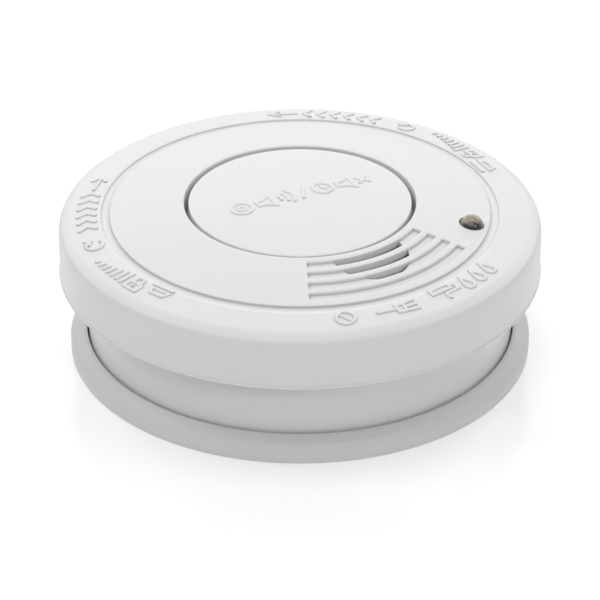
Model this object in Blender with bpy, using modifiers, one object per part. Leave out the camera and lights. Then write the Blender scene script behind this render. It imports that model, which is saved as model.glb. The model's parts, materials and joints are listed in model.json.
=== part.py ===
"""Battery smoke detector, 101 mm across: ceiling plate, twist-off head and sprung test button.

Lengths are in millimetres until MM turns them into Blender's metres. The plate's back lies at z = 0
and the head's front faces +Z, so the detector stands on its ceiling side with its axis on Z. Angles
are in degrees about +Z, and an (x, y) pair is a place on the ceiling plane.
"""

import math

import bmesh
import bpy
from mathutils import Matrix, Vector

MM = 0.001
STEPS = 60  # facets round a large turned part
SMALL_STEPS = 16  # facets round a small one
ARC_STEP = 6.0  # degrees between the points of a plan-view arc
GAP = 0.3  # left between pieces that touch

# Front cover
COVER_R = 50.5
SKIN = 1.6
SKIRT_Z = 18.6
SHOULDER_R = 2.4
SHOULDER_TOP_Z = 30.15
RIM_R, RIM_Z = 42.3, 31.0
GROOVE_R, GROOVE_Z = 41.34, 30.5
DISC_R, DISC_Z = 39.6, 31.2
OPENING_R, OPENING_Z = 24.1, 33.45
LEDGE_R, LEDGE_LOW, LEDGE_TOP = 19.5, 27.4, 28.4
COLLAR_R = 25.3
BRIDGE_ANGLE, BRIDGE_HALF_WIDTH, BRIDGE_LOW, BRIDGE_TOP = 30, 5.5, 25.2, 26.4

# Grille: four shallow arc slots, and a round sound hole that only opens inside the first three
SLOT_RADII = [(25.8, 27.8), (29.1, 31.1), (32.4, 34.4), (35.7, 37.7)]
SLOT_ANGLES = (-87.0, -27.5)
SLOT_DEPTH = 0.75
SOUND_XY, SOUND_R = (14.3, -22.7), 7.8

# Rear case, a drum that carries everything in the head
DRUM_R, DRUM_INNER_R = 44.8, 43.3
DRUM_LOW, DRUM_TOP = 2.2, 28.5
FLOOR_LOW, FLOOR_TOP = 4.8, 6.2
WINDOWS, WINDOW_WIDTH, WINDOW_LOW, WINDOW_TOP = 24, 7.2, 19.6, 27.0

# Ceiling plate
PLATE_R, PLATE_WALL_Z = 48.7, 2.5
LIP_R, LIP_Z = 45.3, 4.9
WEB_Z = 1.8
CABLE_HOLE_R = 12.0
FIXING_X, FIXING_LENGTH, FIXING_WIDTH = 30.0, 14.0, 5.0

# Bayonet: tabs inside the drum turn clockwise under hooks on the plate, up to a stop
HOOK_ANGLES = (-90, 30, 150)
HOOK_HALF, TAB_HALF, STOP_WIDTH = 8.0, 7.5, 2.5
HOOK_R, HOOK_LEG_R, HOOK_LEDGE_R = 40.0, 41.2, 42.7
HOOK_LEDGE_LOW, HOOK_TOP = 3.7, 4.4
TAB_R, TAB_LOW, TAB_TOP = 41.6, 2.4, 3.4

# Test button, its spring and the switch under it
BUTTON_R, BUTTON_TOP, BUTTON_EDGE_Z, BUTTON_LOW = 23.2, 34.0, 33.45, 29.8
BUTTON_ROOF = 1.5
POST_XY, POST_R, POST_LOW = (-2.25, -1.3), 2.5, 17.5
CATCH_ANGLES, CATCH_HALF = (0, 120, 240), 6.0
CATCH_R, CATCH_OUTER_R, BARB_R, BARB_TOP = 17.9, 19.1, 20.3, 27.1
SPRING_R, SPRING_WIRE_R, SPRING_TURNS, POINTS_PER_TURN = 4.0, 0.35, 4, 10
SWITCH_SIDE, SWITCH_TOP, PLUNGER_R, PLUNGER_GAP = 6.0, 15.2, 1.7, 0.4

# Circuit board and its fixings
BOARD_R, BOARD_EDGE_Y, BOARD_LOW, BOARD_TOP = 41.5, 2.0, 10.0, 11.6
PARTS_Z = BOARD_TOP + GAP
BOARD_SCREWS = [(36.5, -13.0), (-33.5, -3.5), (-8.5, -37.5)]
STANDOFF_R, STANDOFF_BORE_R = 2.6, 1.35
BOARD_SHANK_R, BOARD_SHANK_LOW, BOARD_HEAD_R, BOARD_HEAD_HEIGHT = 1.0, 6.8, 2.2, 1.4
COVER_SCREW_R, COVER_SCREW_ANGLES = 38.05, (-90, 5, 90, 175)
COVER_SHANK_R, COVER_SHANK_TOP, COVER_HEAD_R, COVER_HEAD_LOW, COVER_HEAD_TOP = 1.1, 17.5, 2.5, 5.4, 7.2
POST_WALL_R, SEAT_R, SEAT_TOP, SEAT_SHANK_R = 3.4, 2.9, 7.6, 1.5
BOSS_R, BOSS_BORE_R, BOSS_BORE_TOP = 3.0, 1.4, 18.5

# What stands on the board: (x, y) places, and heights above PARTS_Z
CHIP_LOW, CHIP_HIGH = (12.0, -6.3, 0.6), (31.6, -0.5, 3.4)
CHIP_PINS, PIN_PITCH, PIN_SIDES = 8, 2.5, (0.9, 0.8, 2.2)
CAPACITORS = [(32.0, -19.0, 3.0, 7.5), (5.5, -8.0, 2.0, 5.0)]  # x, y, radius, height
COIL_XY, COIL_FLANGE_R, COIL_CORE_R, COIL_HEIGHT, COIL_FLANGE = (8.0, -3.4), 2.4, 1.7, 5.0, 1.0

# Smoke chamber and sounder
CHAMBER_XY, CHAMBER_R, CHAMBER_TOP, CHAMBER_WALL = (-17.8, -16.3), 17.0, 24.5, 1.2
VANES, VANE_R, VANE_TURN, VANE_LENGTH, VANE_WALL = 18, 14.0, 50, 4.4, 0.9
SCREEN_R, SCREEN_INNER_R, SLITS, SLIT_WIDTH = 16.6, 16.15, 12, 6.4
OPTICS_Z, OPTICS_R, CRADLE_R = 18.0, 11.6, 9.6
EMITTER_ANGLE, PHOTODIODE_ANGLE = 200, 320
SOUNDER_R, SOUNDER_LOW, SOUNDER_TOP, SOUNDER_WALL = 14.0, 15.5, 27.0, 1.1
THROAT_R, PIEZO_LEDGE_R, PIEZO_LEDGE_LOW, PIEZO_LEDGE_TOP = 7.0, 11.6, 21.5, 22.3
PIEZO_R, PIEZO_LOW, PIEZO_TOP = 12.4, 20.6, 21.1
CERAMIC_R, CERAMIC_LOW, CERAMIC_TOP = 9.8, 20.0, 20.3
HORN_R, HORN_WALL = SOUND_R + 0.4, 1.2

# Indicator lamp
LED_XY, LED_R, LED_TOP, LED_LOW = (35.3, -7.4), 2.5, 33.6, 25.0
LED_FLANGE_R, LED_FLANGE, SPACER_BORE_R, LEAD_SPACING = 2.9, 1.0, 1.9, 2.54

# 9 V block battery, lying on its broad side in a bay that the plate closes
BATTERY_LOW, BATTERY_HIGH = (-21.4, 3.8, 2.4), (24.6, 30.3, 19.9)
BAY_LOW, BAY_HIGH = (-26.6, 3.5, 4.0), (25.1, 30.6, 20.3)
BAY_WALL = 1.1
NOTCH_LOW, NOTCH_HIGH = (-30.0, 8.5, 10.0), (-26.0, 25.5, 14.0)
TERMINAL_PITCH, TERMINAL_LENGTH, STUD_R, CUP_R = 12.7, 2.3, 2.85, 4.0
SNAP_NEAR, SNAP_FAR, SNAP_MARGIN, SNAP_HALF_HEIGHT, POCKET_R = 0.9, 4.9, 5.4, 5.5, 4.5
LEAD_R, LEAD_Z = 0.6, 12.0


for old in list(bpy.data.objects):
    bpy.data.objects.remove(old, do_unlink=True)


def new_collection(name):
    collection = bpy.data.collections.new(name)
    bpy.context.scene.collection.children.link(collection)
    return collection


PARTS = new_collection("smoke_detector")
CUTTERS = new_collection("smoke_detector_cutters")


def finish(name, colour, roughness, metallic=0.0, transmission=0.0):
    material = bpy.data.materials.new(name)
    material.use_nodes = True
    shader = material.node_tree.nodes["Principled BSDF"]
    shader.inputs["Base Color"].default_value = (*colour, 1.0)
    shader.inputs["Roughness"].default_value = roughness
    shader.inputs["Metallic"].default_value = metallic
    shader.inputs["Transmission Weight"].default_value = transmission
    return material


# Placing and shaping


def polar(radius, angle):
    turn = math.radians(angle)
    return radius * math.cos(turn), radius * math.sin(turn)


def spread(first, last, count):
    return [first + (last - first) * i / (count - 1) for i in range(count)]


def place(name, data, look, at=(0, 0, 0)):
    """Link an object as a part, or as a hidden cutter when it has no look."""
    obj = bpy.data.objects.new(name, data)
    obj.location = [MM * value for value in at]
    if look is None:
        obj.hide_render = True
        obj.display_type = "WIRE"
        CUTTERS.objects.link(obj)
    else:
        data.materials.append(look)
        PARTS.objects.link(obj)
    return obj


def mesh_of(name, shape):
    """Turn a bmesh in millimetres into a mesh in metres with smooth round sides."""
    bmesh.ops.scale(shape, vec=(MM, MM, MM), verts=shape.verts)
    bmesh.ops.recalc_face_normals(shape, faces=shape.faces)
    mesh = bpy.data.meshes.new(name)
    shape.to_mesh(mesh)
    shape.free()
    mesh.shade_smooth()
    mesh.set_sharp_from_angle(angle=math.radians(35))
    return mesh


def turned(name, profile, look=None, at=(0, 0, 0), steps=STEPS):
    """Turn (r, z) points about Z: down the outer side, closed on itself unless it ends on the axis."""
    edges = [(i, i + 1) for i in range(len(profile) - 1)]
    if profile[0][0] or profile[-1][0]:
        edges.append((len(profile) - 1, 0))
    mesh = bpy.data.meshes.new(name)
    mesh.from_pydata([(MM * r, 0, MM * z) for r, z in profile], edges, [])
    obj = place(name, mesh, look, at)
    screw = obj.modifiers.new("Turn", "SCREW")
    screw.steps = screw.render_steps = steps
    screw.use_merge_vertices = True
    screw.merge_threshold = 0.00001
    return obj


def box(name, low, high, look=None, turn=0.0):
    """Make a box between two corners, then turn it about Z through its own centre."""
    centre = [(a + b) / 2 for a, b in zip(low, high)]
    shape = bmesh.new()
    bmesh.ops.create_cube(shape, size=1.0)
    bmesh.ops.scale(shape, vec=[b - a for a, b in zip(low, high)], verts=shape.verts)
    obj = place(name, mesh_of(name, shape), look, centre)
    obj.rotation_euler.z = math.radians(turn)
    return obj


def boxes(name, sides, places):
    """Make one helper of equal boxes, at (x, y, z, turn) places."""
    shape = bmesh.new()
    for x, y, z, turn in places:
        matrix = Matrix.Translation((x, y, z)) @ Matrix.Rotation(math.radians(turn), 4, "Z")
        bmesh.ops.create_cube(shape, size=1.0, matrix=matrix @ Matrix.Diagonal((*sides, 1.0)))
    return place(name, mesh_of(name, shape), None)


def cylinder(name, xy, radius, low, high, look=None, steps=SMALL_STEPS):
    shape = bmesh.new()
    bmesh.ops.create_cone(
        shape, segments=steps, radius1=radius, radius2=radius, depth=high - low, cap_ends=True
    )
    return place(name, mesh_of(name, shape), look, (*xy, (low + high) / 2))


def extruded(name, outline, low, high, look=None):
    """Extrude an (x, y) outline from one height to another, as a mesh that can be cut or joined."""
    curve = bpy.data.curves.new(name, "CURVE")
    curve.dimensions = "2D"
    curve.fill_mode = "BOTH"
    curve.extrude = MM * (high - low) / 2
    spline = curve.splines.new("POLY")
    spline.use_cyclic_u = True
    spline.points.add(len(outline) - 1)
    for point, (x, y) in zip(spline.points, outline):
        point.co = (MM * x, MM * y, 0, 1)
    guide = bpy.data.objects.new(name, curve)
    CUTTERS.objects.link(guide)
    graph = bpy.context.evaluated_depsgraph_get()
    mesh = bpy.data.meshes.new_from_object(guide.evaluated_get(graph))
    bpy.data.objects.remove(guide)
    shape = bmesh.new()
    shape.from_mesh(mesh)
    bmesh.ops.remove_doubles(shape, verts=shape.verts, dist=0.00001)
    bmesh.ops.recalc_face_normals(shape, faces=shape.faces)
    shape.to_mesh(mesh)
    shape.free()
    return place(name, mesh, look, (0, 0, (low + high) / 2))


def arc(radius, start, end):
    count = max(2, round(abs(end - start) / ARC_STEP) + 1)
    return [polar(radius, angle) for angle in spread(start, end, count)]


def sector(name, inner, outer, start, end, low, high):
    """Make a helper that fills part of a ring."""
    return extruded(name, arc(outer, start, end) + arc(inner, end, start), low, high)


def wire(name, points, radius, look):
    """Sweep a round wire through points."""
    curve = bpy.data.curves.new(name, "CURVE")
    curve.dimensions = "3D"
    curve.bevel_depth = MM * radius
    curve.bevel_resolution = 2
    curve.use_fill_caps = True
    spline = curve.splines.new("POLY")
    spline.points.add(len(points) - 1)
    for point, place_mm in zip(spline.points, points):
        point.co = (*(MM * value for value in place_mm), 1)
    return place(name, curve, look)


def smooth_route(points, count=3):
    """Put count points on each stretch of a Catmull-Rom curve through the given points."""
    places = [Vector(point) for point in (points[0], *points, points[-1])]
    route = []
    for before, start, end, after in zip(places, places[1:], places[2:], places[3:]):
        square = before - 2.5 * start + 2 * end - after / 2
        cube = 1.5 * (start - end) + (after - before) / 2
        for step in range(count):
            t = step / count
            route.append(start + t * (end - before) / 2 + t**2 * square + t**3 * cube)
    return [*route, places[-1]]


def combine(obj, operation, others):
    """Join helpers to an object, cut them from it or keep what is common, in one exact Boolean."""
    group = bpy.data.collections.new(f"{obj.name}_{operation.lower()}")
    CUTTERS.children.link(group)
    for other in others:
        CUTTERS.objects.unlink(other)
        group.objects.link(other)
    modifier = obj.modifiers.new(operation.title(), "BOOLEAN")
    modifier.operation = operation
    modifier.operand_type = "COLLECTION"
    modifier.collection = group
    return obj


def join(obj, *others):
    return combine(obj, "UNION", others)


def cut(obj, *others):
    return combine(obj, "DIFFERENCE", others)


def common(obj, other):
    modifier = obj.modifiers.new("Common", "BOOLEAN")
    modifier.operation = "INTERSECT"
    modifier.object = other
    return obj


def lying(obj, xy, angle, z):
    """Lay a piece that was turned about Z on its side at (x, y), with its top end towards an angle."""
    obj.rotation_euler = (0, math.radians(90), math.radians(angle))
    obj.location = (MM * xy[0], MM * xy[1], MM * z)
    return obj


def beside(xy, radius, angle):
    dx, dy = polar(radius, angle)
    return xy[0] + dx, xy[1] + dy


# Ceiling plate


def stadium(centre_x, centre_y, length, width):
    """Outline of a round-ended slot that runs along Y."""
    reach = (length - width) / 2
    far = [(x + centre_x, y + centre_y + reach) for x, y in arc(width / 2, 0, 180)[::4]]
    near = [(x + centre_x, y + centre_y - reach) for x, y in arc(width / 2, 180, 360)[::4]]
    return far + near


def hook_post(name, angle):
    """Plan of one hook's upright, with the stop at its clockwise end."""
    start, end = angle - HOOK_HALF, angle + HOOK_HALF
    back = start - STOP_WIDTH
    outline = arc(HOOK_LEDGE_R, back, start) + arc(HOOK_LEG_R, start, end) + arc(HOOK_R, end, back)
    return extruded(name, outline, WEB_Z / 2, HOOK_TOP)


def build_mounting_plate(look):
    plate = turned(
        "mounting_plate",
        [
            (LIP_R + 0.6, LIP_Z),
            (PLATE_R - 1.3, 4.3),
            (PLATE_R - 0.3, 3.3),
            (PLATE_R, PLATE_WALL_Z),
            (PLATE_R, 0.4),
            (PLATE_R - 0.4, 0.0),
            (CABLE_HOLE_R, 0.0),
            (CABLE_HOLE_R, WEB_Z),
            (LIP_R, WEB_Z),
            (LIP_R, LIP_Z - 0.3),
        ],
        look,
    )
    hooks = []
    for number, angle in enumerate(HOOK_ANGLES, 1):
        hooks.append(hook_post(f"hook_post_{number}", angle))
        span = (angle - HOOK_HALF - STOP_WIDTH, angle + HOOK_HALF)
        ledge = sector(f"hook_ledge_{number}", HOOK_R, HOOK_LEDGE_R, *span, HOOK_LEDGE_LOW, HOOK_TOP)
        hooks.append(ledge)
    join(plate, *hooks)
    slots = [
        extruded(f"fixing_slot_{side}", stadium(side * FIXING_X, 0, FIXING_LENGTH, FIXING_WIDTH), -1, 3)
        for side in (-1, 1)
    ]
    return cut(plate, *slots)


# Rear case


def cover_screw_places():
    return [polar(COVER_SCREW_R, angle) for angle in COVER_SCREW_ANGLES]


def build_rear_case(look):
    case = turned(
        "rear_case",
        [
            (0, FLOOR_TOP),
            (DRUM_INNER_R, FLOOR_TOP),
            (DRUM_INNER_R, DRUM_TOP),
            (DRUM_R, DRUM_TOP),
            (DRUM_R, DRUM_LOW + 0.3),
            (DRUM_R - 0.3, DRUM_LOW),
            (DRUM_INNER_R, DRUM_LOW),
            (DRUM_INNER_R, FLOOR_LOW),
            (0, FLOOR_LOW),
        ],
        look,
    )
    inside = (DRUM_INNER_R + DRUM_R) / 2
    tabs = [
        sector(f"tab_{n}", TAB_R, inside, angle - TAB_HALF, angle + TAB_HALF, TAB_LOW, TAB_TOP)
        for n, angle in enumerate(HOOK_ANGLES, 1)
    ]
    sunk = FLOOR_TOP - 0.2
    bay_low = (BAY_LOW[0] - BAY_WALL, BAY_LOW[1] - BAY_WALL, sunk)
    bay_high = [value + BAY_WALL for value in BAY_HIGH]
    bay = box("bay_walls", bay_low, bay_high)
    posts = [
        cylinder(f"cover_post_{n}", xy, POST_WALL_R, sunk, BOARD_LOW)
        for n, xy in enumerate(cover_screw_places(), 1)
    ]
    standoffs = [
        cylinder(f"board_standoff_{n}", xy, STANDOFF_R, sunk, BOARD_LOW - GAP)
        for n, xy in enumerate(BOARD_SCREWS, 1)
    ]
    join(case, *tabs, bay, *posts, *standoffs)

    holes = [box("bay_room", BAY_LOW, BAY_HIGH), box("lead_notch", NOTCH_LOW, NOTCH_HIGH)]
    seat = [
        (0, BOARD_LOW + 2),
        (SEAT_SHANK_R, BOARD_LOW + 2),
        (SEAT_SHANK_R, SEAT_TOP),
        (SEAT_R, SEAT_TOP),
        (SEAT_R, FLOOR_LOW - 0.8),
        (0, FLOOR_LOW - 0.8),
    ]
    for n, xy in enumerate(cover_screw_places(), 1):
        holes.append(turned(f"cover_screw_seat_{n}", seat, at=(*xy, 0), steps=SMALL_STEPS))
    for n, xy in enumerate(BOARD_SCREWS, 1):
        holes.append(cylinder(f"standoff_bore_{n}", xy, STANDOFF_BORE_R, FLOOR_TOP + 0.1, BOARD_LOW + 1))
    middle = (WINDOW_LOW + WINDOW_TOP) / 2
    sides = (4.0, WINDOW_WIDTH, WINDOW_TOP - WINDOW_LOW)
    turns = [(n + 0.5) * 360 / WINDOWS for n in range(WINDOWS)]
    holes.append(boxes("smoke_windows", sides, [(*polar(inside, t), middle, t) for t in turns]))
    return cut(case, *holes)


# Front cover


def dome_z(r):
    """Height of the domed disc between the groove and the button's opening."""
    fall = (r**2 - OPENING_R**2) / (DISC_R**2 - OPENING_R**2)
    return OPENING_Z - (OPENING_Z - DISC_Z) * fall


def cover_profile():
    disc = [(r, dome_z(r)) for r in spread(OPENING_R + 0.3, DISC_R, 3)]
    corner_r, corner_z = COVER_R - SHOULDER_R, SHOULDER_TOP_Z - SHOULDER_R
    shoulder = []
    for angle in (90, 60, 30, 0):
        dr, dz = polar(SHOULDER_R, angle)
        shoulder.append((corner_r + dr, corner_z + dz))
    inner_r = COVER_R - SKIN
    return [
        (OPENING_R, OPENING_Z - 0.3),
        *disc,
        (DISC_R, GROOVE_Z),
        (GROOVE_R, GROOVE_Z),
        (GROOVE_R, RIM_Z - 0.04),
        (RIM_R, RIM_Z),
        *shoulder,
        (COVER_R, SKIRT_Z + 0.4),
        (COVER_R - 0.4, SKIRT_Z),
        (inner_r, SKIRT_Z),
        (inner_r, corner_z - 0.6),
        (inner_r - 1.4, SHOULDER_TOP_Z - SKIN),
        (DISC_R, RIM_Z - SKIN),
        (COLLAR_R, dome_z(COLLAR_R) - SKIN),
        (COLLAR_R, LEDGE_LOW),
        (LEDGE_R, LEDGE_LOW),
        (LEDGE_R, LEDGE_TOP),
        (OPENING_R, LEDGE_TOP),
    ]


def build_front_cover(look):
    cover = turned("front_cover", cover_profile(), look)
    bosses = [
        cylinder(f"cover_boss_{n}", xy, BOSS_R, BOARD_LOW + GAP, RIM_Z - SKIN / 2)
        for n, xy in enumerate(cover_screw_places(), 1)
    ]
    reach = (LEDGE_R + OPENING_R) / 2
    bridge = box(
        "button_bridge",
        (-reach, -BRIDGE_HALF_WIDTH, BRIDGE_LOW),
        (reach, BRIDGE_HALF_WIDTH, BRIDGE_TOP),
        turn=BRIDGE_ANGLE,
    )
    pillars = []
    for n, angle in enumerate((BRIDGE_ANGLE, BRIDGE_ANGLE + 180), 1):
        span = (angle - 13, angle + 13)
        pillars.append(sector(f"bridge_pillar_{n}", 20.0, 22.5, *span, BRIDGE_LOW, LEDGE_TOP - 0.2))
    outer = HORN_R + HORN_WALL
    horn = turned(
        "sound_horn",
        [(outer, DISC_Z), (outer, LEDGE_LOW), (HORN_R, LEDGE_LOW), (HORN_R, DISC_Z)],
        at=(*SOUND_XY, 0),
        steps=2 * SMALL_STEPS,
    )
    cut(horn, cylinder("horn_trim", (0, 0), (OPENING_R + COLLAR_R) / 2, 20, 40, steps=STEPS))
    join(cover, *bosses, bridge, *pillars, horn)

    holes = []
    for n, (inner, outer) in enumerate(SLOT_RADII, 1):
        floor = dome_z((inner + outer) / 2) - SLOT_DEPTH
        holes.append(sector(f"grille_slot_{n}", inner, outer, *SLOT_ANGLES, floor, 36))
        if n < len(SLOT_RADII):
            limit = sector(f"sound_limit_{n}", inner, outer, *SLOT_ANGLES, 25, 40)
            sound = cylinder(f"sound_hole_{n}", SOUND_XY, SOUND_R, 28, 35, steps=2 * SMALL_STEPS)
            holes.append(common(sound, limit))
    holes.append(cylinder("lamp_hole", LED_XY, LED_R + 0.35, 28, 35, steps=24))
    holes.append(cylinder("post_guide", POST_XY, POST_R + 0.5, 24, 27.2))
    for n, xy in enumerate(cover_screw_places(), 1):
        holes.append(cylinder(f"boss_bore_{n}", xy, BOSS_BORE_R, BOARD_LOW - 1, BOSS_BORE_TOP))
    return cut(cover, *holes)


# Test button, spring and switch


def crown_z(r):
    return BUTTON_TOP - (BUTTON_TOP - BUTTON_EDGE_Z) * (r / BUTTON_R) ** 2


def build_test_button(look):
    top = [(r, crown_z(r)) for r in spread(0, BUTTON_R - 0.5, 4)]
    inner_r = BUTTON_R - 1.3
    roof = BUTTON_EDGE_Z - BUTTON_ROOF
    side = [(BUTTON_R, BUTTON_EDGE_Z - 0.5), (BUTTON_R, BUTTON_LOW)]
    inside = [(inner_r, BUTTON_LOW), (inner_r, roof), (0, roof)]
    button = turned("test_button", top + side + inside, look)
    stems = [cylinder("button_post", POST_XY, POST_R, POST_LOW, roof + 0.5)]
    for n, angle in enumerate(CATCH_ANGLES, 1):
        span = (angle - CATCH_HALF, angle + CATCH_HALF)
        stems.append(sector(f"catch_leg_{n}", CATCH_R, CATCH_OUTER_R, *span, BARB_TOP - 1.2, roof + 0.5))
        stems.append(sector(f"catch_barb_{n}", CATCH_R + 0.3, BARB_R, *span, BARB_TOP - 1.1, BARB_TOP))
    return join(button, *stems)


def build_button_spring(look):
    low = BRIDGE_TOP + GAP + SPRING_WIRE_R
    high = BUTTON_EDGE_Z - BUTTON_ROOF - GAP - SPRING_WIRE_R
    points = []
    for i, z in enumerate(spread(low, high, SPRING_TURNS * POINTS_PER_TURN + 1)):
        points.append((*beside(POST_XY, SPRING_R, 360 * i / POINTS_PER_TURN), z))
    return wire("button_spring", points, SPRING_WIRE_R, look)


def build_switch(body_look, plunger_look):
    x, y = POST_XY
    half = SWITCH_SIDE / 2
    body = box("switch_body", (x - half, y - half, PARTS_Z), (x + half, y + half, SWITCH_TOP), body_look)
    cut(body, cylinder("plunger_bore", POST_XY, PLUNGER_R + 0.35, PARTS_Z + 1.0, SWITCH_TOP + 1))
    plunger = cylinder(
        "switch_plunger", POST_XY, PLUNGER_R, PARTS_Z + 2.2, POST_LOW - PLUNGER_GAP, plunger_look
    )
    return body, plunger


# Circuit board and what stands on it


def build_circuit_board(look):
    edge = math.degrees(math.asin(BOARD_EDGE_Y / BOARD_R))
    board = extruded("circuit_board", arc(BOARD_R, 180 - edge, 360 + edge), BOARD_LOW, BOARD_TOP, look)
    holes = [
        cylinder(f"post_notch_{n}", xy, 4.4, BOARD_LOW - 1, BOARD_TOP + 1)
        for n, xy in enumerate(cover_screw_places(), 1)
    ]
    for n, xy in enumerate(BOARD_SCREWS, 1):
        holes.append(cylinder(f"board_hole_{n}", xy, 1.4, BOARD_LOW - 1, BOARD_TOP + 1))
    return cut(board, *holes)


def build_screws(look):
    """Cover screws reach up from the back, board screws down from above the board."""
    cover_screw = [
        (0, COVER_SHANK_TOP),
        (COVER_SHANK_R, COVER_SHANK_TOP - 0.5),
        (COVER_SHANK_R, COVER_HEAD_TOP),
        (COVER_HEAD_R, COVER_HEAD_TOP),
        (COVER_HEAD_R, COVER_HEAD_LOW),
        (1.0, COVER_HEAD_LOW),
        (0, COVER_HEAD_LOW + 0.8),
    ]
    top = PARTS_Z + BOARD_HEAD_HEIGHT
    board_screw = [
        (0, top - 0.7),
        (0.8, top),
        (BOARD_HEAD_R, top),
        (BOARD_HEAD_R, PARTS_Z),
        (BOARD_SHANK_R, PARTS_Z),
        (BOARD_SHANK_R, BOARD_SHANK_LOW + 0.4),
        (0, BOARD_SHANK_LOW),
    ]
    screws = []
    for n, xy in enumerate(cover_screw_places(), 1):
        screws.append(turned(f"cover_screw_{n}", cover_screw, look, (*xy, 0), 12))
    for n, xy in enumerate(BOARD_SCREWS, 1):
        screws.append(turned(f"board_screw_{n}", board_screw, look, (*xy, 0), 12))
    return screws


def build_chamber(dark, screen_look, clear, metal):
    base_top = PARTS_Z + CHAMBER_WALL
    base = cylinder("chamber_base", CHAMBER_XY, CHAMBER_R, PARTS_Z, base_top, dark, 36)
    cradles = []
    for n, angle in enumerate((EMITTER_ANGLE, PHOTODIODE_ANGLE), 1):
        x, y = beside(CHAMBER_XY, CRADLE_R, angle)
        low, high = (x - 1.4, y - 1.9, base_top - 0.2), (x + 1.4, y + 1.9, OPTICS_Z - 3.1)
        cradles.append(box(f"optics_cradle_{n}", low, high, turn=angle))
    join(base, *cradles)

    lid_low = CHAMBER_TOP - CHAMBER_WALL
    lid = cylinder("chamber_lid", CHAMBER_XY, CHAMBER_R, lid_low, CHAMBER_TOP, dark, 36)
    low, high = base_top + 0.4, lid_low + 0.2
    vanes = []
    for i in range(VANES):
        angle = 360 * i / VANES
        vanes.append((*beside(CHAMBER_XY, VANE_R, angle), (low + high) / 2, angle + VANE_TURN))
    join(lid, boxes("labyrinth_vanes", (VANE_LENGTH, VANE_WALL, high - low), vanes))

    low, high = base_top + GAP, lid_low - GAP
    ring = [(SCREEN_R, high), (SCREEN_R, low), (SCREEN_INNER_R, low), (SCREEN_INNER_R, high)]
    screen = turned("insect_screen", ring, screen_look, (*CHAMBER_XY, 0), 36)
    slits = []
    for i in range(SLITS):
        angle = 360 * (i + 0.5) / SLITS
        slits.append((*beside(CHAMBER_XY, SCREEN_R, angle), (low + high) / 2, angle))
    cut(screen, boxes("screen_slits", (3.0, SLIT_WIDTH, high - low - 2.0), slits))

    lens = [(0, 5.0), (1.1, 4.6), (1.8, 3.4), (1.8, 0), (0, 0)]
    emitter = turned("infrared_emitter", lens, dark, steps=12)
    lying(emitter, beside(CHAMBER_XY, OPTICS_R, EMITTER_ANGLE), EMITTER_ANGLE - 180, OPTICS_Z)
    diode = turned("photodiode", lens, clear, steps=12)
    tube = [(2.7, 4.2), (2.7, 0), (2.2, 0), (2.2, 4.2)]
    shield = turned("photodiode_shield", tube, metal, steps=12)
    for piece in (diode, shield):
        lying(piece, beside(CHAMBER_XY, OPTICS_R, PHOTODIODE_ANGLE), PHOTODIODE_ANGLE - 180, OPTICS_Z)
    return [base, lid, screen, emitter, diode, shield]


def build_sounder(plastic, brass, ceramic, red, black):
    wall_r = SOUNDER_R - SOUNDER_WALL
    roof = SOUNDER_TOP - 1.2
    housing = turned(
        "sounder_housing",
        [
            (THROAT_R, SOUNDER_TOP),
            (SOUNDER_R, SOUNDER_TOP),
            (SOUNDER_R, SOUNDER_LOW),
            (wall_r, SOUNDER_LOW),
            (wall_r, PIEZO_LEDGE_LOW),
            (PIEZO_LEDGE_R, PIEZO_LEDGE_LOW),
            (PIEZO_LEDGE_R, PIEZO_LEDGE_TOP),
            (wall_r, PIEZO_LEDGE_TOP),
            (wall_r, roof),
            (THROAT_R, roof),
        ],
        plastic,
        (*SOUND_XY, 0),
        28,
    )
    leg_r = (wall_r + SOUNDER_R) / 2 - 0.1
    legs = [
        cylinder(f"sounder_leg_{angle}", beside(SOUND_XY, leg_r, angle), 1.1, PARTS_Z, 16.5, steps=12)
        for angle in (90, 210, 330)
    ]
    join(housing, *legs)
    plate = cylinder("piezo_plate", SOUND_XY, PIEZO_R, PIEZO_LOW, PIEZO_TOP, brass, 32)
    disc = cylinder("piezo_ceramic", SOUND_XY, CERAMIC_R, CERAMIC_LOW, CERAMIC_TOP, ceramic, 32)
    leads = []
    for name, look, radius, under in (("red", red, 6.0, CERAMIC_LOW), ("black", black, 11.2, PIEZO_LOW)):
        start = beside(SOUND_XY, radius, 60)
        foot = beside(SOUND_XY, radius - 3.0, 80)
        route = [(*start, under - 0.7), (*start, 17.6), (*foot, 14.4), (*foot, PARTS_Z)]
        leads.append(wire(f"piezo_lead_{name}", smooth_route(route), 0.4, look))
    return [housing, plate, disc, *leads]


def build_lamp(clear, plastic, metal):
    top = LED_TOP - LED_R
    dome = []
    for angle in (90, 67.5, 45, 22.5, 0):
        dr, dz = polar(LED_R, angle)
        dome.append((dr if angle < 90 else 0, top + dz))
    step_z = LED_LOW + LED_FLANGE
    base = [(LED_R, step_z), (LED_FLANGE_R, step_z), (LED_FLANGE_R, LED_LOW), (0, LED_LOW)]
    lamp = turned("status_led", dome + base, clear, (*LED_XY, 0), 20)
    top = LED_LOW - GAP
    sleeve = [(LED_FLANGE_R, top), (LED_FLANGE_R, PARTS_Z), (SPACER_BORE_R, PARTS_Z), (SPACER_BORE_R, top)]
    spacer = turned("led_spacer", sleeve, plastic, (*LED_XY, 0), SMALL_STEPS)
    leads = []
    for n, side in enumerate((-1, 1), 1):
        xy = (LED_XY[0] + side * LEAD_SPACING / 2, LED_XY[1])
        leads.append(cylinder(f"led_lead_{n}", xy, 0.3, PARTS_Z, top, metal, 8))
    return [lamp, spacer, *leads]


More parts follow.
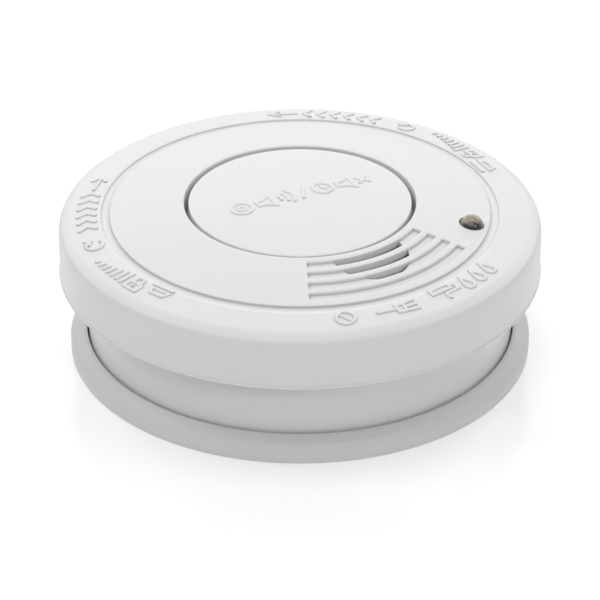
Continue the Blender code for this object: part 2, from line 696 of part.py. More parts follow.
def build_electronics(dark, sleeve, ferrite):
    def raised(corner):
        return (corner[0], corner[1], PARTS_Z + corner[2])

    chip = box("controller_chip", raised(CHIP_LOW), raised(CHIP_HIGH), dark)
    pins = []
    for i in range(CHIP_PINS):
        for y in (CHIP_LOW[1] - 0.1, CHIP_HIGH[1] + 0.1):
            pins.append((CHIP_LOW[0] + 1.0 + PIN_PITCH * i, y, PARTS_Z + PIN_SIDES[2] / 2, 0))
    join(chip, boxes("chip_pins", PIN_SIDES, pins))
    cans = []
    for n, (x, y, r, height) in enumerate(CAPACITORS, 1):
        top = PARTS_Z + height
        can = [(0, top), (r - 0.4, top), (r, top - 0.4), (r, PARTS_Z), (0, PARTS_Z)]
        cans.append(turned(f"capacitor_{n}", can, sleeve, (x, y, 0), 20))
    top = PARTS_Z + COIL_HEIGHT
    spool = [
        (0, top),
        (COIL_FLANGE_R, top),
        (COIL_FLANGE_R, top - COIL_FLANGE),
        (COIL_CORE_R, top - COIL_FLANGE),
        (COIL_CORE_R, PARTS_Z + COIL_FLANGE),
        (COIL_FLANGE_R, PARTS_Z + COIL_FLANGE),
        (COIL_FLANGE_R, PARTS_Z),
        (0, PARTS_Z),
    ]
    coil = turned("boost_coil", spool, ferrite, (*COIL_XY, 0), SMALL_STEPS)
    return [chip, *cans, coil]


# Battery and its leads


def build_battery(jacket, metal, plastic, red, black):
    battery = box("battery", BATTERY_LOW, BATTERY_HIGH, jacket)
    bevel = battery.modifiers.new("Rounded edges", "BEVEL")
    bevel.width = MM * 1.2
    bevel.segments = 2
    end_x, low_y, low_z = BATTERY_LOW
    middle_y = (low_y + BATTERY_HIGH[1]) / 2
    middle_z = (low_z + BATTERY_HIGH[2]) / 2
    plus_y, minus_y = middle_y - TERMINAL_PITCH / 2, middle_y + TERMINAL_PITCH / 2
    length = TERMINAL_LENGTH
    stud = [(0, length), (STUD_R - 0.35, length), (STUD_R, length - 0.5), (STUD_R, 0), (0, 0)]
    cup = [(0, 0.5), (CUP_R - 0.9, 0.5), (CUP_R - 0.9, length), (CUP_R, length), (CUP_R, 0), (0, 0)]
    pieces = [battery]
    for name, profile, y, steps in (("positive", stud, plus_y, 16), ("negative", cup, minus_y, 12)):
        terminal = turned(f"battery_terminal_{name}", profile, metal, steps=steps)
        pieces.append(lying(terminal, (end_x - GAP, y), 180, middle_z))

    near_x, far_x = end_x - SNAP_NEAR, end_x - SNAP_FAR
    strip = box(
        "battery_snap",
        (far_x, plus_y - SNAP_MARGIN, middle_z - SNAP_HALF_HEIGHT),
        (near_x, minus_y + SNAP_MARGIN, middle_z + SNAP_HALF_HEIGHT),
        plastic,
    )
    room = [(0, 5), (POCKET_R, 5), (POCKET_R, 0), (0, 0)]
    pockets = []
    for n, y in enumerate((plus_y, minus_y), 1):
        pockets.append(lying(turned(f"snap_pocket_{n}", room, steps=20), (near_x - 2.9, y), 0, middle_z))
    cut(strip, *pockets)
    pieces.append(strip)
    ring = [(3.95, 2.2), (3.95, 0), (3.2, 0), (3.2, 2.2)]
    plug = [(0, 2.2), (2.2, 2.2), (2.7, 1.7), (2.7, 0), (0, 0)]
    for name, profile, y in (("positive", ring, plus_y), ("negative", plug, minus_y)):
        contact = turned(f"snap_contact_{name}", profile, metal, steps=SMALL_STEPS)
        pieces.append(lying(contact, (near_x - 2.6, y), 0, middle_z))

    for name, look, y, turn_x, foot in (
        ("red", red, plus_y, -30.2, (-27.4, 0.2)),
        ("black", black, minus_y, -32.2, (-30.0, -1.2)),
    ):
        route = [
            (far_x - GAP, y, LEAD_Z),
            (turn_x + 1.2, y - 0.6, LEAD_Z),
            (turn_x, y - 3.0, 12.6),
            (turn_x, 5.0, 14.6),
            (foot[0] - 1.6, foot[1] + 0.6, 15.4),
            (*foot, 14.2),
            (*foot, PARTS_Z),
        ]
        pieces.append(wire(f"battery_lead_{name}", smooth_route(route), LEAD_R, look))
    return pieces


def empty(name, at=(0, 0, 0)):
    obj = bpy.data.objects.new(name, None)
    obj.location = [MM * value for value in at]
    obj.empty_display_size = MM * 10
    PARTS.objects.link(obj)
    return obj


def adopt(parent, pieces):
    """Parent pieces without moving them."""
    for piece in pieces:
        piece.parent = parent
        piece.location = [a - b for a, b in zip(piece.location, parent.location)]


def build_detector():
    white = finish("white_abs", (0.80, 0.80, 0.81), 0.38)
    inner_white = finish("inner_white_abs", (0.72, 0.72, 0.72), 0.5)
    dark = finish("black_abs", (0.02, 0.02, 0.02), 0.55)
    screen = finish("insect_mesh", (0.35, 0.35, 0.36), 0.5, 0.8)
    clear = finish("clear_epoxy", (0.9, 0.85, 0.75), 0.08, transmission=0.9)
    steel = finish("steel", (0.6, 0.6, 0.6), 0.3, 1.0)
    brass = finish("brass", (0.7, 0.5, 0.2), 0.35, 1.0)
    ceramic = finish("ceramic", (0.75, 0.72, 0.66), 0.6)
    board = finish("board_green", (0.03, 0.18, 0.08), 0.4)
    jacket = finish("battery_jacket", (0.08, 0.09, 0.12), 0.35)
    red = finish("red_insulation", (0.5, 0.02, 0.02), 0.45)
    black = finish("black_insulation", (0.02, 0.02, 0.02), 0.45)

    build_mounting_plate(white)
    head = empty("head_turn")
    pieces = [build_rear_case(white), build_front_cover(white), build_circuit_board(board)]
    pieces += build_screws(steel)
    pieces += build_chamber(dark, screen, clear, steel)
    pieces += build_sounder(inner_white, brass, ceramic, red, black)
    pieces += build_lamp(clear, inner_white, steel)
    pieces += build_electronics(dark, jacket, black)
    pieces += build_battery(jacket, steel, inner_white, red, black)
    switch, plunger = build_switch(dark, steel)
    adopt(head, [*pieces, switch])

    slide = empty("button_slide", (0, 0, BUTTON_LOW))
    adopt(slide, [build_test_button(white), build_button_spring(steel)])
    adopt(empty("plunger_slide", (*POST_XY, SWITCH_TOP)), [plunger])


build_detector()
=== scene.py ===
"""Looks of the smoke detector: fine moulded shells, lamp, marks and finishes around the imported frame.

Outlines and marks are in millimetres until a mesh is made, angles are in degrees about +Z, and the
head's front faces +Z. Radii, heights and places of whole pieces come from the frame.
"""

import json
import math

import bmesh
import bpy
from mathutils import Matrix, Vector


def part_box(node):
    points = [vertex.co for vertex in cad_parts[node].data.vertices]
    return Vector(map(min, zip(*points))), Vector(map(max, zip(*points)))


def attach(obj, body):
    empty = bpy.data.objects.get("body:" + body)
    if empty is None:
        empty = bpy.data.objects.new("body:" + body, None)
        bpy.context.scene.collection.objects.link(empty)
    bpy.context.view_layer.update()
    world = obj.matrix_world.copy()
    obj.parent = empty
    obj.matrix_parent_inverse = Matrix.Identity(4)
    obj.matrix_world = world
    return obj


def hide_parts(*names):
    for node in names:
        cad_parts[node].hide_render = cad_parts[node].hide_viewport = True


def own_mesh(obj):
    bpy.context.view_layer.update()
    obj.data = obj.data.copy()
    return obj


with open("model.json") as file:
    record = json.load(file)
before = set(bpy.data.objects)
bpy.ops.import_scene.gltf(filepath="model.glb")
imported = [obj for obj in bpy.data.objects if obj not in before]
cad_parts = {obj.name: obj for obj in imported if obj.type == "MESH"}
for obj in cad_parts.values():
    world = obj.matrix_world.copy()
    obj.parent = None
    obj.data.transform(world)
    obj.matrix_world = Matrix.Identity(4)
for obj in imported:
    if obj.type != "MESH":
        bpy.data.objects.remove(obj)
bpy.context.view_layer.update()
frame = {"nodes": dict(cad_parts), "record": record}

MM = 0.001
TURN_STEPS = 240  # facets round the large shells
GAP = 0.3  # space between neighbouring pieces


def size_of(node):
    """Outer radius, lowest and highest z of a CAD node that is centred on the Z axis."""
    low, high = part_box(node)
    return high.x / MM, low.z / MM, high.z / MM


def place_of(node):
    """Middle (x, y), lowest and highest z of a CAD node."""
    low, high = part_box(node)
    return ((low.x + high.x) / 2 / MM, (low.y + high.y) / 2 / MM), low.z / MM, high.z / MM


COVER_R, BOSS_LOW, OPENING_Z = size_of("front_cover")
DRUM_R, DRUM_LOW, DRUM_TOP = size_of("rear_case")
PLATE_R, _, LIP_Z = size_of("mounting_plate")
BUTTON_R, POST_LOW, BUTTON_TOP = size_of("test_button")
LED_XY, LED_LOW, LED_TOP = place_of("status_led")
LED_FLANGE_R = (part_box("status_led")[1].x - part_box("status_led")[0].x) / 2 / MM
LED_R = LED_FLANGE_R - 0.4
POST_XY = place_of("switch_plunger")[0]
COVER_SCREWS = [place_of(f"cover_screw_{n}")[0] for n in range(1, 5)]
BOARD_SCREWS = [place_of(f"board_screw_{n}")[0] for n in range(1, 4)]

# Front cover
SKIN = 1.6
SKIRT_Z = 18.6
SHOULDER_R, SHOULDER_TOP_Z = COVER_R - 2.4, 30.2
RIM_R, RIM_Z = 42.3, 31.0
GROOVE_R, GROOVE_Z = 41.34, 30.6
DISC_R, DISC_Z = 39.6, 31.2
OPENING_R, COLLAR_R = 24.1, 25.3
LEDGE_R, LEDGE_LOW, LEDGE_TOP = 19.5, 27.4, 28.4
BRIDGE_ANGLE, BRIDGE_HALF_WIDTH, BRIDGE_LOW, BRIDGE_TOP = 30, 5.5, 25.2, 26.4
BOSS_R, BOSS_BORE_R, BOSS_BORE_TOP = 3.0, 1.4, 18.5
BEAD, BEAD_TOP_Z = 0.18, SKIRT_Z + 0.3  # a fine bead stands out along the skirt's lower edge
PILLAR_INNER_R, PILLAR_OUTER_R, PILLAR_HALF = 20.0, 22.5, 13
LAMP_ROOM = 0.12  # space round the lamp in its hole

# Grille: four shallow arc slots, and a round sound hole that only opens inside the first three
SLOT_RADII = [(25.7, 27.9), (29.0, 31.2), (32.3, 34.5), (35.6, 37.8)]
SLOT_ANGLES = (-87.5, -26.6)
SLOT_DEPTH = 0.65
EDGE, EDGE_LINES = 0.3, 6  # width of a slot's rounded flank, and the lines that round it
SOUND_HOLE_R, HORN_R, HORN_WALL = 8.0, 8.3, 1.2
SOUND_R, SOUND_ANGLE = 26.1, math.radians(-57.15)
SOUND_XY = (SOUND_R * math.cos(SOUND_ANGLE), SOUND_R * math.sin(SOUND_ANGLE))
# The dark disc under the ribs is painted shade for the deep sound hole.
RIB_THICKNESS, SHADE_DISC_THICKNESS = 1.6, 0.3

# Rear case
DRUM_INNER_R = DRUM_R - 1.5
FLOOR_LOW, FLOOR_TOP = 4.8, 6.2
WINDOWS, WINDOW_HALF, WINDOW_LOW, WINDOW_TOP = 24, 4.7, 19.6, 27.0
BAY_LOW, BAY_HIGH, BAY_WALL = (-26.6, 3.5), (25.1, 30.6, 20.3), 1.1
NOTCH_LOW, NOTCH_HIGH = (-30.0, 8.5, 10.0), (-26.0, 25.5, 14.0)
TAB_R, TAB_LOW, TAB_TOP, TAB_HALF = 41.6, 2.4, 3.4, 7.5
POST_TOP, COVER_POST_R, STANDOFF_R, STANDOFF_BORE_R = 10.0, 3.4, 2.6, 1.35
SHANK_ROOM_R, HEAD_ROOM_R, HEAD_SEAT_Z = 1.5, 2.9, 7.6  # a cover screw's hole through the floor

# Ceiling plate
LIP_R, WEB_Z, CABLE_HOLE_R, HOLE_COLLAR_R = 45.15, 1.8, 12.0, 13.2
FIXING_X, FIXING_REACH, FIXING_HALF = 30.0, 4.5, 2.5
FIXING_SEAT, FIXING_SEAT_DEPTH = 2.0, 0.5  # the seat round a fixing slot
EJECTORS, EJECTOR_DEPTH = 6, 0.15  # round marks of the mould's pins
HOOK_ANGLES, HOOK_HALF, STOP_WIDTH = (-90, 30, 150), 8.0, 2.5
HOOK_R, HOOK_LEG_R, HOOK_LEDGE_R, HOOK_LEDGE_LOW, HOOK_TOP = 40.0, 41.2, 42.7, 3.7, 4.4

# Test button
BUTTON_LOW, BUTTON_WALL, BUTTON_ROOF_Z = 29.8, 1.3, OPENING_Z - 1.5
BUTTON_EDGE_Z = OPENING_Z - 0.3  # the cap's edge lies a little below the opening's
POST_R = 2.5
CATCH_ANGLES, CATCH_HALF, CATCH_R, CATCH_OUTER_R = (0, 120, 240), 6.0, 17.9, 19.1
BARB_R, BARB_TOP = 20.3, 27.1

# Indicator lamp
LENS_TOP = LED_TOP - LED_R  # where the round top meets the straight side
FLANGE_TOP = LED_LOW + 1.0
CUP_R, CUP_DEPTH, RESIN_FLOOR_R = 1.0, 1.6, 2.3

# Raised marks
MARK_R, MARK_HALF = 44.4, 2.0
STROKE, RAISE, BUTTON_RAISE, SINK = 0.74, 0.32, 0.26, 0.15
BUTTON_LINE, BUTTON_LINE_ANGLE, BUTTON_LINE_LENGTH = (-14.0, -5.8), 27.4, 31.8
BUTTON_SIGN_SCALE = 1.1

# Finishes
WHITE = (0.79, 0.787, 0.79)
CREVICE_SHADE, CREVICE_SHADE_REACH = (0.36, 0.34, 0.42), 1.0  # painted shade: the tone of deep corners, and how far off their walls it may reach
# A dark grey for the painted shade in the lamp, on the lens's patch and on its cup, and the resin's tan.
LAMP_SHADE_GREY, TAN = (0.10, 0.10, 0.115), (0.46, 0.40, 0.29)
SHADE_PATCH_NEAR, SHADE_PATCH_FAR = 1.4, 2.1  # the lamp's painted grey shade patch fades out between these radii


# Shaping


def polar(radius, angle):
    turn = math.radians(angle)
    return radius * math.cos(turn), radius * math.sin(turn)


def filleted(corners, segments=5):
    """Round a closed outline whose corners are (r, z, radius)."""
    points = []
    for i, (r, z, radius) in enumerate(corners):
        here = Vector((r, z))
        if not radius:
            points.append((r, z))
            continue
        before = (Vector(corners[i - 1][:2]) - here).normalized()
        after = (Vector(corners[(i + 1) % len(corners)][:2]) - here).normalized()
        half = before.angle(after) / 2
        centre = here + (before + after).normalized() * radius / math.sin(half)
        start = here + before * radius / math.tan(half) - centre
        end = here + after * radius / math.tan(half) - centre
        sweep = start.angle(end)
        for step in range(segments + 1):
            t = step / segments
            spoke = start * math.sin((1 - t) * sweep) + end * math.sin(t * sweep)
            points.append(tuple(centre + spoke / math.sin(sweep)))
    return points


def even_angles(steps=TURN_STEPS):
    return [360 * i / steps for i in range(steps)]


def finished(name, shape, sharp=32):
    """Turn a bmesh in millimetres into an object whose round sides shade smooth."""
    bmesh.ops.remove_doubles(shape, verts=shape.verts, dist=1e-5)
    bmesh.ops.delete(shape, geom=[edge for edge in shape.edges if edge.is_wire], context="EDGES")
    bmesh.ops.recalc_face_normals(shape, faces=shape.faces)
    bmesh.ops.scale(shape, vec=(MM, MM, MM), verts=shape.verts)
    mesh = bpy.data.meshes.new(name)
    shape.to_mesh(mesh)
    shape.free()
    mesh.shade_smooth()
    mesh.set_sharp_from_angle(angle=math.radians(sharp))
    obj = bpy.data.objects.new(name, mesh)
    bpy.context.scene.collection.objects.link(obj)
    return obj


def skin(shape, rings, around):
    """Join neighbouring rings of points with quads, round to the first again if asked."""
    for ring, following in zip(rings, rings[1:] + (rings[:1] if around else [])):
        for i in range(len(ring)):
            j = (i + 1) % len(ring)
            shape.faces.new((ring[i], ring[j], following[j], following[i]))


def lathe(name, outline, angles=None, lift=None, sharp=32):
    """Sweep a closed (r, z) outline round Z. lift(r, z, angle) may change the height of a point."""
    angles = angles or even_angles()
    shape = bmesh.new()
    rings = []
    for angle in angles:
        ring = []
        for r, z in outline:
            height = lift(r, z, angle) if lift else z
            ring.append(shape.verts.new((*polar(r, angle), height)))
        rings.append(ring)
    skin(shape, rings, around=True)
    return finished(name, shape, sharp)


def prism(name, outline, low, high):
    """Stand a closed (x, y) outline up from one height to another."""
    shape = bmesh.new()
    floor = shape.faces.new([shape.verts.new((x, y, low)) for x, y in outline])
    walls = bmesh.ops.extrude_face_region(shape, geom=[floor])
    raised = [item for item in walls["geom"] if isinstance(item, bmesh.types.BMVert)]
    bmesh.ops.translate(shape, vec=(0, 0, high - low), verts=raised)
    return finished(name, shape)


def cylinder(name, xy, radius, low, high, steps=32):
    around = [polar(radius, 360 * i / steps) for i in range(steps)]
    return prism(name, [(xy[0] + x, xy[1] + y) for x, y in around], low, high)


def block(name, low, high, turn=0.0):
    """A box between two corners, turned about the Z axis."""
    corners = [(low[0], low[1]), (high[0], low[1]), (high[0], high[1]), (low[0], high[1])]
    outline = [polar(math.hypot(x, y), math.degrees(math.atan2(y, x)) + turn) for x, y in corners]
    return prism(name, outline, low[2], high[2])


def tube(name, path, radius, sides=10):
    """Sweep a round wire through (x, y, z) points."""
    shape = bmesh.new()
    rings = []
    for i, point in enumerate(path):
        along = Vector(path[min(i + 1, len(path) - 1)]) - Vector(path[max(i - 1, 0)])
        side = along.cross(Vector((0, 0, 1))).normalized()
        up = side.cross(along).normalized()
        ring = []
        for k in range(sides):
            across, lift = polar(radius, 360 * k / sides)
            ring.append(shape.verts.new(Vector(point) + side * across + up * lift))
        rings.append(ring)
    skin(shape, rings, around=False)
    shape.faces.new(rings[0])
    shape.faces.new(rings[-1])
    return finished(name, shape)


def shifted(obj, xy):
    obj.data.transform(Matrix.Translation((xy[0] * MM, xy[1] * MM, 0)))
    return obj


def combine(obj, operation, others, sharp=32):
    """Apply one Boolean with a group of closed helpers, which are then removed.

    Every shape here is closed, so the manifold solver does it, far faster than the exact one.
    """
    group = bpy.data.collections.new("helpers")
    for other in others:
        group.objects.link(other)
    modifier = obj.modifiers.new(operation.title(), "BOOLEAN")
    modifier.operation = operation
    modifier.solver = "MANIFOLD"
    modifier.operand_type = "COLLECTION"
    modifier.collection = group
    graph = bpy.context.evaluated_depsgraph_get()
    mesh = bpy.data.meshes.new_from_object(obj.evaluated_get(graph))
    obj.modifiers.remove(modifier)
    mesh.shade_smooth()
    mesh.set_sharp_from_angle(angle=math.radians(sharp))
    obj.data = mesh
    for other in others:
        bpy.data.objects.remove(other)
    bpy.data.collections.remove(group)
    return obj


def joined(name, pieces):
    """Put several pieces in one object, each still its own closed skin."""
    shape = bmesh.new()
    for piece in pieces:
        shape.from_mesh(piece.data)
        bpy.data.objects.remove(piece)
    bmesh.ops.scale(shape, vec=(1 / MM, 1 / MM, 1 / MM), verts=shape.verts)
    return finished(name, shape, 60)


def arc(radius, start, end, step=2.0):
    count = max(2, round(abs(end - start) / step) + 1)
    return [polar(radius, start + (end - start) * i / (count - 1)) for i in range(count)]


def sector(name, inner, outer, start, end, low, high):
    return prism(name, arc(outer, start, end) + arc(inner, end, start), low, high)


# Marks: plain signs made of raised strokes. A sign is its width and its (path, closed) strokes, whose
# points are (along, up) with the sign's left edge at 0 and its middle height at 0.


def curve_of(centre, radius, start, end, points=12):
    turns = [start + (end - start) * i / (points - 1) for i in range(points)]
    return [(centre[0] + x, centre[1] + y) for x, y in (polar(radius, turn) for turn in turns)]


def ring_of(centre, radius, points=24):
    return curve_of(centre, radius, 0, 360 * (points - 1) / points, points)


def mirrored(sign):
    width, strokes = sign
    return width, [([(width - u, v) for u, v in path], closed) for path, closed in strokes]


def chevron():
    return 1.5, [([(0.0, MARK_HALF), (1.5, 0.0), (0.0, -MARK_HALF)], False)]


def arrow():
    return 6.0, [([(0.0, 0.0), (5.7, 0.0)], False), ([(3.9, 1.6), (6.0, 0.0), (3.9, -1.6)], False)]


def turning():
    """An open ring with an arrowhead that points anticlockwise."""
    radius, end = 1.75, 330
    tip = (2 + polar(radius, end)[0], polar(radius, end)[1])
    head = [(tip[0] + u, tip[1] + v) for u, v in ((-1.25, -0.35), (0.05, 0.5), (0.75, -0.85))]
    return 4.2, [(curve_of((2.0, 0.0), radius, 50, end, 20), False), (head, False)]


def padlock(is_open):
    body = [(0.0, -MARK_HALF), (3.2, -MARK_HALF), (3.2, 0.0), (0.0, 0.0)]
    foot = 0.8 if is_open else 0.0
    shackle = [(0.6, 0.0), *curve_of((1.6, 0.8), 1.0, 180, 0, 9), (2.6, foot)]
    return 3.2, [(body, True), (shackle, False), ([(1.6, -0.8), (1.6, -1.25)], False)]


def rising_bars():
    strokes = [([(1.5 * i, -MARK_HALF), (1.5 * i, -MARK_HALF + 0.9 + 0.5 * i)], False) for i in range(7)]
    return 9.0, strokes


def forbidden():
    return 4.0, [(ring_of((2.0, 0.0), 1.85), True), ([(0.7, 1.3), (3.3, -1.3)], False)]


def paint_brush():
    handle = [(0.0, 0.0), (4.2, 0.0)]
    ferrule = [(4.5, -1.1), (6.1, -1.1), (6.1, 1.1), (4.5, 1.1)]
    bristles = [([(6.1, v), (8.8, v * 1.25)], False) for v in (-1.1, 0.0, 1.1)]
    return 9.0, [(handle, False), (ferrule, True), *bristles]


def paint_roller():
    sleeve = [(0.0, 0.6), (4.8, 0.6), (4.8, MARK_HALF), (0.0, MARK_HALF)]
    frame_wire = [(4.9, 1.3), (6.0, 1.3), (6.0, -0.3), (2.6, -0.3), (2.6, -MARK_HALF)]
    return 6.1, [(sleeve, True), (frame_wire, False)]


def drop():
    return 2.2, [([(1.1, 1.7), *curve_of((1.1, -0.9), 1.05, 25, -205, 16)], True)]


def push_button():
    return 4.2, [(ring_of((2.1, 0.0), 2.0), True), (ring_of((2.1, 0.0), 0.75, 16), True)]


def loudspeaker():
    horn = [(0.0, -0.8), (1.3, -0.8), (3.1, -MARK_HALF), (3.1, MARK_HALF), (1.3, 0.8), (0.0, 0.8)]
    return 3.1, [(horn, True)]


def sound_waves():
    return 3.4, [(curve_of((-0.6, 0.0), radius, -38, 38, 9), False) for radius in (1.3, 2.6, 3.9)]


def small_cross():
    return 2.4, [([(0.0, -1.2), (2.4, 1.2)], False), ([(0.0, 1.2), (2.4, -1.2)], False)]


def clock():
    return 4.0, [(ring_of((2.0, 0.0), 1.9), True), ([(2.0, 1.1), (2.0, 0.0), (2.8, -0.5)], False)]


def detector(gap):
    """A detector's side under a ceiling line, with a gap between them."""
    top = MARK_HALF - 0.9 - gap
    body = [(0.5, top), (5.1, top), (4.3, top - 1.4), (1.3, top - 1.4)]
    return 5.6, [([(0.0, MARK_HALF), (5.6, MARK_HALF)], False), (body, True)]


def slash():
    return 1.8, [([(0.0, -MARK_HALF), (1.8, MARK_HALF)], False)]


def row(signs, length):
    """Set signs side by side over a length. None between two signs leaves three times the space."""
    shown = [sign for sign in signs if sign]
    breaks = len(signs) - len(shown)
    gap = (length - sum(width for width, _ in shown)) / (len(shown) - 1 + 2 * breaks)
    u, strokes = 0.0, []
    for sign in signs:
        if sign is None:
            u += 2 * gap
            continue
        width, paths = sign
        strokes += [([(u + a, b) for a, b in path], closed) for path, closed in paths]
        u += width + gap
    return strokes


def ribbon(name, path, closed, surface, height=RAISE):
    """A raised stroke along (x, y) points, with soft shoulders and its feet sunk in the surface."""
    half = STROKE / 2
    section = [(-half, -SINK), (-half, 0.05)]
    section += [(-half * 0.8, height * 0.72), (-half * 0.4, height * 0.95)]
    section += [(0.0, height)] + [(-across, lift) for across, lift in reversed(section)]
    shape = bmesh.new()
    rings = []
    last = len(path) - 1
    for i, point in enumerate(path):
        here = Vector(point)
        incoming = here - Vector(path[i - 1])
        outgoing = Vector(path[(i + 1) % len(path)]) - here
        if not closed:
            incoming = incoming if i else outgoing
            outgoing = outgoing if i < last else incoming
        side = incoming.orthogonal().normalized()
        mitre = (side + outgoing.orthogonal().normalized()).normalized()
        mitre /= max(mitre.dot(side), 0.5)
        ring = []
        for across, lift in section:
            x, y = here + mitre * across
            ring.append(shape.verts.new((x, y, surface(x, y) + lift)))
        rings.append(ring)
    skin(shape, rings, around=closed)
    if not closed:
        shape.faces.new(rings[0])
        shape.faces.new(rings[-1])
    return finished(name, shape, 60)


def rim_surface(x, y):
    along = (math.hypot(x, y) - RIM_R) / (SHOULDER_R - RIM_R)
    return RIM_Z + (SHOULDER_TOP_Z - RIM_Z) * along


def rim_marks(name, signs, start, end):
    """Signs round the rim from one angle to another, their tops towards the centre."""
    marks = []
    length = MARK_R * math.radians(end - start)
    for n, (path, closed) in enumerate(row(signs, length), 1):
        bent = [polar(MARK_R - v, start + math.degrees(u / MARK_R)) for u, v in path]
        marks.append(ribbon(f"{name}_{n}", bent, closed, rim_surface))
    return marks


def cover_marks():
    """Three runs of signs round the rim: turn to lock, turn to free, and a warning against paint."""
    tighten = [mirrored(arrow()), *[mirrored(chevron())] * 6, None, mirrored(turning()), None]
    tighten += [rising_bars(), padlock(False), detector(0.0)]
    loosen = [detector(0.9), padlock(True), mirrored(rising_bars()), None, turning(), None]
    loosen += [*[chevron()] * 6, arrow()]
    no_paint = [forbidden(), None, paint_brush(), None, paint_roller(), drop(), drop(), drop()]
    marks = rim_marks("tighten", tighten, 161.0, 234.0)
    marks += rim_marks("loosen", loosen, 23.0, 98.6)
    return joined("cover_marks", marks + rim_marks("no_paint", no_paint, -81.0, -31.0))


def crown_z(r):
    return BUTTON_TOP - (BUTTON_TOP - BUTTON_EDGE_Z) * (r / BUTTON_R) ** 2


def crown_surface(x, y):
    return crown_z(math.hypot(x, y))


def button_marks():
    """A slanting line of signs across the button: push and listen, or wait and silence."""
    signs = [push_button(), loudspeaker(), sound_waves(), slash(), clock(), loudspeaker(), small_cross()]
    start, angle = Vector(BUTTON_LINE), math.radians(BUTTON_LINE_ANGLE)
    along = Vector((math.cos(angle), math.sin(angle)))
    up = Vector((-along.y, along.x))
    marks = []
    for n, (path, closed) in enumerate(row(signs, BUTTON_LINE_LENGTH / BUTTON_SIGN_SCALE), 1):
        laid = [tuple(start + (along * u + up * v) * BUTTON_SIGN_SCALE) for u, v in path]
        marks.append(ribbon(f"test_{n}", laid, closed, crown_surface, BUTTON_RAISE))
    return joined("button_marks", marks)


# Front cover


def dome_z(r):
    fall = (r**2 - OPENING_R**2) / (DISC_R**2 - OPENING_R**2)
    return OPENING_Z - (OPENING_Z - DISC_Z) * fall


def smooth_step(t):
    t = min(max(t, 0.0), 1.0)
    return t * t * (3 - 2 * t)


def flank(distance):
    """Share of a slot's depth at a distance in from its edge: a rounded shoulder with a steep foot."""
    t = min(max(distance / EDGE, 0.0), 1.0)
    return 1 - math.sqrt(1 - t * t)


def slot_drop(r, angle):
    """How far the grille's slots lower the dome."""
    start, end = SLOT_ANGLES
    along = min(math.radians(angle - start) * r, math.radians(end - angle) * r)
    for inner, outer in SLOT_RADII:
        if inner < r < outer and along > 0:
            return SLOT_DEPTH * min(flank(along), flank(r - inner), flank(outer - r))
    return 0.0


def dome_radii():
    """Radii of the rings of the dome, close together on each slot's flanks."""
    radii = [OPENING_R + 0.45, OPENING_R + 0.9]
    for inner, outer in SLOT_RADII:
        steps = [EDGE * math.sin(math.pi / 2 * i / EDGE_LINES) for i in range(EDGE_LINES + 1)]
        radii += [inner + step for step in steps] + [outer - step for step in reversed(steps)]
    return radii + [38.4, DISC_R - 0.3]


def cover_angles():
    """Angles of the cover's spokes, close together at the slots' squared ends."""
    angles = [a - 180 for a in even_angles()]
    for end, side in zip(SLOT_ANGLES, (1, -1)):
        angles = [a for a in angles if not -0.2 <= (a - end) * side <= 1.4]
        angles += [end + side * 1.0 * i / 12 for i in range(13)]
    return sorted(angles)


def cover_outline():
    """Half section: up the opening, out over the dome, groove, rim and skirt, and back underneath."""
    corner_r = COVER_R - SKIN
    lip = filleted([(OPENING_R, LEDGE_TOP, 0), (OPENING_R, OPENING_Z, 0.35), (DISC_R, DISC_Z, 0)])[1:-1]
    dome = [(r, dome_z(r)) for r in dome_radii()]
    outside = filleted(
        [
            (OPENING_R, dome_z(OPENING_R), 0),
            (DISC_R, DISC_Z, 0.2),
            (DISC_R, GROOVE_Z, 0.1),
            (GROOVE_R, GROOVE_Z, 0.1),
            (GROOVE_R + 0.08, RIM_Z - 0.03, 0.1),
            (RIM_R, RIM_Z, 1.2),
            (SHOULDER_R, SHOULDER_TOP_Z, 3.0),
            (COVER_R - 0.4, SHOULDER_TOP_Z - 1.2, 1.6),
            (COVER_R - BEAD, SHOULDER_TOP_Z - 3.25, 2.4),
            (COVER_R - BEAD, BEAD_TOP_Z + BEAD, 0.05),
            (COVER_R, BEAD_TOP_Z, 0.05),
            (COVER_R, SKIRT_Z, 0.15),
            (corner_r, SKIRT_Z, 0.3),
            (corner_r, SHOULDER_TOP_Z - 2.85, 1.2),
            (corner_r - 1.4, SHOULDER_TOP_Z - SKIN, 0),
            (DISC_R, RIM_Z - SKIN, 0),
            (COLLAR_R, dome_z(COLLAR_R) - SKIN, 0),
            (COLLAR_R, LEDGE_LOW, 0),
            (LEDGE_R, LEDGE_LOW, 0.2),
            (LEDGE_R, LEDGE_TOP, 0.2),
            (OPENING_R, LEDGE_TOP, 0.2),
        ]
    )
    return lip + dome + outside[1:]


def cover_lift(r, z, angle):
    """Sink the dome's own points where a slot is, and leave the rest."""
    on_dome = OPENING_R < r < DISC_R - 0.2 and z > dome_z(r) - 0.05
    return z - slot_drop(r, angle) if on_dome else z


def sound_hole_cutter(name, inner, outer):
    """The part of the round sound hole that lies inside one slot."""
    hole = cylinder(name, SOUND_XY, SOUND_HOLE_R, 28, 36, 96)
    inset = 0.6 * EDGE
    strip = sector("strip", inner + inset, outer - inset, -100, -15, 27, 37)
    return combine(hole, "INTERSECT", [strip])


def collar_room(room):
    """A cutter as wide as the collar round the button's opening, and a little more or less."""
    return cylinder("collar_room", (0, 0), COLLAR_R + room, 20, 40, 120)


def under_dome(depth):
    """A height rule for pieces turned about the sound hole: their tops lie this far under the dome."""

    def lift(r, z, angle):
        if z <= LEDGE_TOP:
            return z
        x, y = polar(r, angle)
        return dome_z(math.hypot(SOUND_XY[0] + x, SOUND_XY[1] + y)) - depth - (DISC_Z - z)

    return lift


